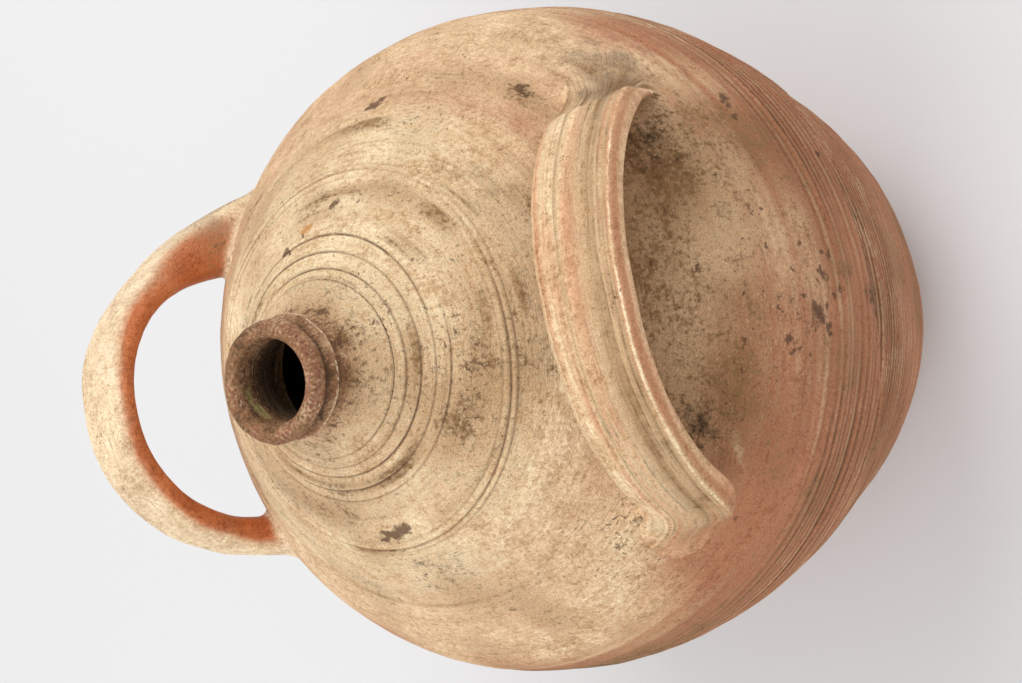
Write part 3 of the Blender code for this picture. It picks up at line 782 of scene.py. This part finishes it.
neck_facts = {key: value + onto_wall * (beside[key] - value) for key, value in neck_facts.items()}
neck_facts["lines"] = height
neck = skin("thrown_neck", neck_rows, True, neck_facts)


def on_bore(*marks):
    """Round marks on the bore, from (degrees of turn, height in metres, radius in millimetres)."""
    places = []
    for degrees, high, size in marks:
        turn = math.radians(degrees)
        y = BORE_RADIUS * math.sin(turn) - float(drift(high))
        places.append((BORE_RADIUS * math.cos(turn), y, high, size / 1000))
    return places


crust_marks = on_bore(
    (-172, 0.4740, 2.0), (-160, 0.4745, 2.4), (-149, 0.4735, 2.4), (-138, 0.4728, 2.0), (-128, 0.4725, 1.4),
)
neck.data.materials.append(fired_clay(
    "Oil-darkened clay", BUFF_CLAY, PURPLE_BROWN, NECK_LINE_PITCH, [(CRUST_GREEN, crust_marks)],
    roughness=(0.58, 0.78),
))
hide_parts("neck")
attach(neck, "root")

# The right strap
# Each handle is a strap of clay pulled in a wet fist, which leaves lengthwise ridges, then bent to an arch
# and luted to the shoulder by both ends. The right one is broad, buff, with a sharp outer edge.

STRAP_THICKNESS = 0.0145
ARCH_SQUARENESS = 2.2
TAIL_LENGTH = 0.022
TUCK_REACH = 0.055
SWELL_REACH = 0.090
SWELL_POWER = 1.5
BACK_WIDENING = 0.25
FRONT_WIDENING = 0.60
LUTING_REACH = 0.006
LUTING_SPREAD = 0.85
LUTING_POWER = 2.4
ROOT_SLIDE_REACH = 0.050
NECKWARD = (0.75, 0.66)
RAMP_SLOPE = 0.85
RAMP_REACH = 0.024
STRAP_STATIONS = 300
STRAP_POINTS = 132
STRAP_LINES_AT = 0.3
STRAP_LINE_PITCH = 0.0018
STRAP_LINE_LENGTH = 0.16
PALE_STRAP = (0.86, 0.595, 0.345, 1.0)
SALMON_CLAY = (0.66, 0.310, 0.160, 1.0)

# In millimetres: each rim of a root is (farthest y, how much nearer it is at its reach, middle run, reach),
# and a root counts from the first to the second y of its start.
BACK_RIM = (105, 8, 355, 35)
BACK_RIM_SHARE = 0.5
BACK_ROOT_START = (68, 88)
FRONT_RIM = (116, 10, 352, 30)
FRONT_ROOT_START = (84, 98)
LOW_RIM_RUN = 341
RIM_SOFTNESS = 3

# Each groove is (place across the strap from 0 to 1, half width, depth share).
RIGHT_GROOVES = (
    (0.17, 0.022, 0.5), (0.27, 0.016, 0.25), (0.35, 0.026, 0.6), (0.45, 0.015, 0.25),
    (0.52, 0.024, 0.6), (0.62, 0.018, 0.5), (0.80, 0.012, 0.25), (0.86, 0.012, 0.3),
)


def against_wall(points):
    """Where points stand against the wall: run and turn of its nearest place, how far out, and its normal."""
    height = points[..., 2]
    y = points[..., 1] + drift(height)
    turn = np.arctan2(y, points[..., 0])
    run = np.interp(height, wall[:, 1], wall_run)
    for _ in range(3):
        slope_up = np.interp(run, wall_run, wall_slope[:, 1])
        slope_out = np.interp(run, wall_run, wall_slope[:, 0])
        out = (np.hypot(points[..., 0], y) - np.interp(run, wall_run, wall[:, 0])) * slope_up
        out = out - (height - np.interp(run, wall_run, wall[:, 1])) * slope_out
        run = np.interp(height + out * slope_out, wall[:, 1], wall_run)
    normal = np.stack([slope_up * np.cos(turn), slope_up * np.sin(turn), -slope_out], axis=-1)
    return run, turn, out, normal


def worn_down(out, inside):
    """Height above the wall near a root's rim: out bends down to a ramp that steepens inwards."""
    inside = np.maximum(inside, 1e-5)
    ramp = RAMP_SLOPE * inside / np.maximum(1 - inside / RAMP_REACH, 0.02) ** 1.2
    return ramp * (1 - np.exp(-out / ramp))


def smeared(rows, centre, side, footprint):
    """Wears the roots down near their rims, then flares them onto the wall by a power law, as slip does.

    Gives the new points, how near each is to the wall, from 0 to 1, and the wall's own colour facts there.
    """
    wall_at, wall_turn, off, normal = against_wall(rows)
    inside, weight = footprint(1000 * wall_at, 1000 * wall_point(wall_at, wall_turn, 0.0)[..., 1])
    lowered = np.where(off > 0, (worn_down(np.maximum(off, 0), inside / 1000) - off) * weight, 0.0)
    rows = rows + lowered[..., None] * normal
    off = off + lowered
    away = rows - centre[:, None]
    away = away - (away * normal).sum(axis=-1, keepdims=True) * normal
    away /= np.linalg.norm(away, axis=-1, keepdims=True) + 1e-9
    skirt = LUTING_REACH * (1 + 0.35 * ripples(rows, 0.022, 66 + side))
    near = np.clip(1 - np.clip(off, 0, None) / skirt, 0, 1)
    rows = rows + (LUTING_SPREAD * skirt * near ** LUTING_POWER)[..., None] * away
    return rows, near, wall_facts(wall_at, wall_turn, 0 * near)


def signed_power(value, power):
    """The value's size raised to a power, with its sign kept."""
    return np.sign(value) * np.abs(value) ** power


def arch(spread, height):
    """Half a superellipse on two straight tails: even runs along it, and (sideways, up) at each of them."""
    t = np.linspace(0, math.pi, 2001)
    sideways = spread * signed_power(np.cos(t), 2 / ARCH_SQUARENESS)
    up = height * signed_power(np.sin(t), 2 / ARCH_SQUARENESS)
    sideways = np.concatenate([[spread], sideways, [-spread]])
    up = np.concatenate([[-TAIL_LENGTH], up, [-TAIL_LENGTH]])
    run = np.concatenate([[0.0], np.cumsum(np.hypot(np.diff(sideways), np.diff(up)))])
    even = np.linspace(0, run[-1], STRAP_STATIONS)
    return even, np.stack([np.interp(even, run, sideways), np.interp(even, run, up)], axis=1)


def strap(
    name, side, width, lean, root_rise, spread, height, tucks, swells, slides, ridges, facts, footprint,
):
    """A section carried along an arch that stands on the shoulder.

    The section is an oval, square at its outer edge and round at its inner one, with the ridges added to
    its outer face. Towards its back and front root the strap tucks in and widens by square laws, and its
    outer half swells by a power law. The slides move both roots towards the neck: (back, front) at the
    outer edge, then at the inner one. The footprint says how far inside a root's rim a place on the wall is.
    """
    even, path = arch(spread, height)
    root_height = BELLY_HEIGHT + root_rise
    body_radius = float(np.interp(root_height, wall[:, 1], wall[:, 0]))
    reach = math.sqrt(body_radius ** 2 - spread ** 2)
    outward = np.array([side * math.sin(lean), 0.0, math.cos(lean)])
    broad = np.array([side * math.cos(lean), 0.0, -math.sin(lean)])
    above = np.stack([even, even[-1] - even], axis=1) - TAIL_LENGTH
    tucked = np.clip(1 - above / TUCK_REACH, 0, None) ** 2 @ tucks
    wide = width * (1 + np.clip(1 - above / TUCK_REACH, 0, 1) ** 2 @ (BACK_WIDENING, FRONT_WIDENING))
    swollen = np.clip(1 - above / SWELL_REACH, 0, 1) ** SWELL_POWER @ swells
    centre = path[:, :1] * np.array([0.0, 1.0, 0.0]) + path[:, 1:] * outward
    centre = centre + np.array([side * reach, 0.0, root_height])
    centre[:, 0] -= side * tucked
    out = np.cross(np.gradient(centre, axis=0), broad)
    out /= np.linalg.norm(out, axis=1)[:, None]
    out *= np.sign(out[STRAP_STATIONS // 2] @ outward)

    around = np.linspace(0, 2 * math.pi, STRAP_POINTS, endpoint=False)
    roundness = np.where(np.cos(around) > 0, 0.5, 0.8)
    length, across = np.meshgrid(even, signed_power(np.cos(around), roundness), indexing="ij")
    face = np.repeat(signed_power(np.sin(around), roundness)[None], STRAP_STATIONS, axis=0)
    share = length / even[-1]
    half = STRAP_THICKNESS / 2 + np.where(face > 0, swollen[:, None], 0.0)
    relief = ridges(across, share) * step_up(face, 0.35, 0.8)
    rows = centre[:, None] + (across * wide[:, None] / 2)[..., None] * broad
    rows = rows + (face * half + relief)[..., None] * out[:, None]
    dents = 0.0003 * ripples(rows, 0.04, 60 + side) + 0.00008 * ripples(rows, 0.012, 64 + side)
    rows = rows + dents[..., None] * out[:, None]
    near_roots = np.clip(1 - above / ROOT_SLIDE_REACH, 0, 1) ** 2
    outer_slide, inner_slide = (np.array(slides) @ near_roots.T)[..., None]
    slide = outer_slide + (inner_slide - outer_slide) * (1 - across) / 2
    rows = rows + slide[..., None] * np.array([-side * NECKWARD[0], 0.0, NECKWARD[1]])
    rows, near, beside = smeared(rows, centre, side, footprint)
    blend = step_up(near, 0.15, 0.95)
    numbers = facts(across, face, share, rows)
    numbers = {key: (1 - blend) * value + blend * beside[key] for key, value in numbers.items()}
    numbers["lines"] = across * width / 2 + STRAP_LINES_AT
    if side < 0:
        rows = rows[:, ::-1]
        numbers = {key: value[:, ::-1] for key, value in numbers.items()}
    return skin(name, rows, False, numbers)


def right_footprint(run, y):
    """Millimetres inside the rims of the right strap's two roots, and where they count.

    Each rim is a parabola in run, and below it lies a level one: the nearer rim counts, and their corner is
    rounded by -s log(e^(-a/s) + e^(-b/s)).
    """
    (back_far, back_drop, back_middle, back_reach), (far, drop, middle, reach) = BACK_RIM, FRONT_RIM
    back = BACK_RIM_SHARE * (back_far - back_drop * ((run - back_middle) / back_reach) ** 2 - y)
    front = far - drop * ((run - middle) / reach) ** 2 + y
    rims = [np.where(y > 0, back, front), run - LOW_RIM_RUN]
    rim = -RIM_SOFTNESS * np.log(sum(np.exp(-np.clip(inside, -60, 150) / RIM_SOFTNESS) for inside in rims))
    return rim, np.where(y > 0, step_up(y, *BACK_ROOT_START), step_up(-y, *FRONT_ROOT_START))


def right_ridges(across, share):
    """Lengthwise ridges: narrow bells for grooves, a broad one for the hollow, a step for the sharp edge."""
    u = (across + 1) / 2
    relief = -0.0011 * bell(u, 0.74, 0.085) + 0.0011 * step_up(u, 0.90, 0.975)
    for middle, wide, deep in RIGHT_GROOVES:
        wander = 0.012 * np.sin(9 * share + 40 * middle)
        relief = relief - 0.0007 * deep * bell(u, middle + wander, wide)
    return relief + 0.0003 * np.cos(2 * math.pi * (u - 0.43) / 0.18) * (u < 0.65)


def right_facts(across, face, share, place):
    """Buff outer face with orange, cream and brown stripes, a painted highlight along the sharp edge, a pink
    side and a grey top end.
    """
    u = (across + 1) / 2
    outer = step_up(face, -0.1, 0.5)
    side_face = step_up(across, 0.95, 1.0) * (1 - step_up(face, 0.35, 0.75)) * step_up(face, -0.9, -0.5)
    # The thin cream line along the sharp outer edge is a painted highlight.
    edge = bell(u, 0.962, 0.015) * step_up(face, 0.30, 0.7) * (1 - step_up(share, 0.76, 0.86))
    low = step_up(share, 0.40, 0.62)
    middle = bell(share, 0.42, 0.16)
    top_end = 1 - step_up(share, 0.14, 0.30)
    low_end = step_up(share, 0.74, 0.90)
    cloudy = ripples(place, 0.05, 71)
    along = np.stack([7.0 * u, 1.1 * share], axis=-1)
    fine = ripples(along, 1.0, 77)
    coarse = ripples(0.45 * along, 1.0, 78)
    blush = 0.12 + 0.10 * cloudy + 0.30 * bell(u, 0.14, 0.14) * (1 - low) + 0.22 * middle * bell(u, 0.36, 0.2)
    blush = blush + (0.34 * fine + 0.16 * coarse) * outer - 0.3 * edge + 0.28 * side_face
    blush = blush + 0.50 * (1 - outer) * (1 - side_face) + 0.85 * low_end * step_up(u, 0.20, 0.55)
    cream = 0.50 * bell(u, 0.30, 0.035) * (1 - low) + 0.35 * bell(u, 0.45, 0.05) * (1 - 0.5 * low)
    cream = cream + low * (0.50 * bell(u, 0.18, 0.20) + 0.25 * bell(u, 0.60, 0.04)) + 1.1 * edge
    cream = cream - 0.40 * fine * outer - 1.3 * low_end * step_up(u, 0.2, 0.5) - 0.5 * top_end
    grime_and_shade = 0.52 * bell(u, 0.74, 0.14) * (1 - 0.35 * low_end) + 0.50 * top_end + 0.24 * np.clip(coarse, 0, 1)
    grime_and_shade = grime_and_shade + 0.40 * bell(u, 0.55, 0.045) + 0.30 * bell(u, 0.35, 0.02) + 0.10 * low
    grime_and_shade = (grime_and_shade + 0.22 * np.clip(-fine, 0, 1)) * outer + 0.35 * (1 - outer) * (1 - side_face) - 0.7 * edge
    ash_and_shade = 0.85 * top_end * step_up(u, 0.05, 0.4) + 0.40 * low_end * (1 - step_up(u, 0.35, 0.6))
    ash_and_shade = ash_and_shade + 0.45 * bell(u, 0.76, 0.09) * (1 - step_up(share, 0.25, 0.5))
    cut = bell(u, 0.62, 0.010) + 0.8 * bell(u, 0.35, 0.008) * (1 - low)
    return {
        "blush": blush, "grime_and_shade": grime_and_shade, "soot_and_shade": 0 * share, "cream": np.clip(cream, 0, 1.2),
        "ash_and_shade": ash_and_shade * outer, "fleck": 0.30 + 0.18 * ripples(place, 0.04, 72) - 0.2 * side_face,
        "cut": 0.30 * outer * cut,
    }


right_strap = strap(
    "pulled_right_strap", side=1, width=0.044, lean=math.radians(-1.5), root_rise=0.0735, spread=0.102,
    height=0.098, tucks=(0.026, 0.052), swells=(0.0085, 0.0080), slides=((0.004, 0.010), (0.0, 0.011)),
    ridges=right_ridges, facts=right_facts, footprint=right_footprint,
)
right_strap.data.materials.append(fired_clay(
    "Pale pulled clay", PALE_STRAP, SALMON_CLAY, STRAP_LINE_PITCH, roughness=(0.70, 0.88), lined=2.6,
    line_length=STRAP_LINE_LENGTH,
))
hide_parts("right_handle")
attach(right_strap, "root")

# The left strap
# The left handle is narrower and rounder. The kiln's flame has turned its inner face orange-red, and its
# outer face has stayed cream with small rust specks.

FLAME_RED = (0.56, 0.165, 0.055, 1.0)
CREAM_CLAY = (0.92, 0.700, 0.450, 1.0)
NO_SLIDES = ((0.0, 0.0), (0.0, 0.0))


def whole_footprint(run, y):
    """The left strap's roots keep their whole height, so every place is far inside a rim and none counts."""
    return 0 * run + 1000, 0 * run


def left_ridges(across, share):
    """Faint lengthwise ridges: two cosines across the strap."""
    return 0.00022 * np.cos(2 * math.pi * (1.9 * across + 0.1)) + 0.00012 * np.cos(2 * math.pi * 4.7 * across)


def left_facts(across, face, share, place):
    """Orange-red inside, cream outside, with the red spreading over the outer face towards the back root."""
    spread = 0.35 * (1 - step_up(share, 0.18, 0.50))
    outer = step_up(0.6 * across + 0.8 * face - spread, -0.35, 0.55)
    front = step_up(share, 0.45, 0.75)
    back_end = 1 - step_up(share, 0.10, 0.26)
    chip = bell(share, 0.115, 0.022) * bell(across, -0.45, 0.35) * step_up(face, 0.0, 0.5)
    web = (1 - step_up(share, 0.09, 0.15)) * (1 - step_up(across, -1.0, -0.55))
    web = web + 0.6 * (1 - step_up(1 - share, 0.08, 0.12)) * (1 - step_up(across, -1.0, -0.4))
    return {
        "blush": 0.95 - 0.90 * outer + 0.12 * ripples(place, 0.04, 74) - 0.35 * back_end,
        "grime_and_shade": 0.50 * back_end + 0.08 * np.clip(ripples(place, 0.02, 76), 0, 1) + 0.4 * web - chip,
        "soot_and_shade": 0.55 * web, "cream": 0.40 * outer * (0.6 + 0.4 * front) + 1.2 * chip,
        "ash_and_shade": 0.45 * back_end - chip, "fleck": 0.22 + 0.2 * ripples(place, 0.03, 75), "cut": 0 * share,
    }


left_strap = strap(
    "pulled_left_strap", side=-1, width=0.030, lean=math.radians(1), root_rise=0.080, spread=0.0735,
    height=0.109, tucks=(0.045, 0.024), swells=(0.031, 0.0065), slides=NO_SLIDES,
    ridges=left_ridges, facts=left_facts, footprint=whole_footprint,
)
left_strap.data.materials.append(fired_clay(
    "Flame-red pulled clay", CREAM_CLAY, FLAME_RED, STRAP_LINE_PITCH, roughness=(0.45, 0.62), lined=0.6,
    line_length=STRAP_LINE_LENGTH,
))
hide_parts("left_handle")
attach(left_strap, "root")

# The studio
# A pale matte floor, a pale world and two soft lamps: the key lamp high on the +Y side, and the weaker
# fill lamp lower on the -Y side. The camera stands where the photograph's did, seen from the jug.

FLOOR_HALF = 40.0
FLOOR_COLOUR = (0.77, 0.77, 0.775, 1.0)
LAMP_DISTANCE = 2.2
LIT_PLACE = (0.0, 0.0, 0.25)
WORLD_COLOUR = (0.99, 0.99, 1.0, 1.0)
WORLD_STRENGTH = 0.72
CAMERA_PLACE = (0.5095, -0.0684, 1.0670)
CAMERA_RIGHT = (0.8134, -0.1904, -0.5496)
CAMERA_UP = (0.1992, 0.9789, -0.0444)
FOCAL_PIXELS = 1800.0
PICTURE_WIDTH = 1022.0

mesh = bpy.data.meshes.new("studio_floor")
corners = [(x * FLOOR_HALF, y * FLOOR_HALF, 0) for x, y in ((-1, -1), (1, -1), (1, 1), (-1, 1))]
mesh.from_pydata(corners, [], [(0, 1, 2, 3)])
studio_floor = bpy.data.objects.new("studio_floor", mesh)
bpy.context.scene.collection.objects.link(studio_floor)
floor_paint = bpy.data.materials.new("Pale paper")
floor_paint.use_nodes = True
paper = floor_paint.node_tree.nodes["Principled BSDF"]
paper.inputs["Base Color"].default_value = FLOOR_COLOUR
paper.inputs["Roughness"].default_value = 0.95
mesh.materials.append(floor_paint)


def set_up(name, data, axes, place):
    """Stands a lamp or the camera at a place, with its own X, Y and Z axes along the given three."""
    matrix = np.eye(4)
    matrix[:3, :3] = np.stack(axes, axis=1)
    matrix[:3, 3] = place
    holder = bpy.data.objects.new(name, data)
    holder.matrix_world = Matrix(matrix.tolist())
    bpy.context.scene.collection.objects.link(holder)
    return holder


def soft_lamp(name, direction, size, power):
    """A square lamp that shines at the jug's middle from the given direction."""
    lamp = bpy.data.lights.new(name, "AREA")
    lamp.size = size
    lamp.energy = power
    way = np.array(direction) / np.linalg.norm(direction)
    sideways = np.cross([0.0, 0.0, 1.0], way)
    sideways /= np.linalg.norm(sideways)
    set_up(name, lamp, [sideways, np.cross(way, sideways), way], np.array(LIT_PLACE) + LAMP_DISTANCE * way)


soft_lamp("key_lamp", (0.0, 0.6, 0.8), 1.4, 22.0)
soft_lamp("fill_lamp", (-0.15, -0.85, 0.60), 1.6, 16.0)

world = bpy.data.worlds.new("Pale room")
bpy.context.scene.world = world
world.use_nodes = True
world.node_tree.nodes["Background"].inputs["Color"].default_value = WORLD_COLOUR
world.node_tree.nodes["Background"].inputs["Strength"].default_value = WORLD_STRENGTH

camera = bpy.data.cameras.new("photo_camera")
camera.sensor_width = 36.0
camera.lens = camera.sensor_width * FOCAL_PIXELS / PICTURE_WIDTH
camera.clip_end = 50.0
right = np.array(CAMERA_RIGHT) / np.linalg.norm(CAMERA_RIGHT)
back = np.cross(right, np.array(CAMERA_UP))
back /= np.linalg.norm(back)
viewer = set_up("photo_camera", camera, [right, np.cross(back, right), back], CAMERA_PLACE)
bpy.context.scene.camera = viewer
bpy.context.scene.view_settings.view_transform = "Standard"
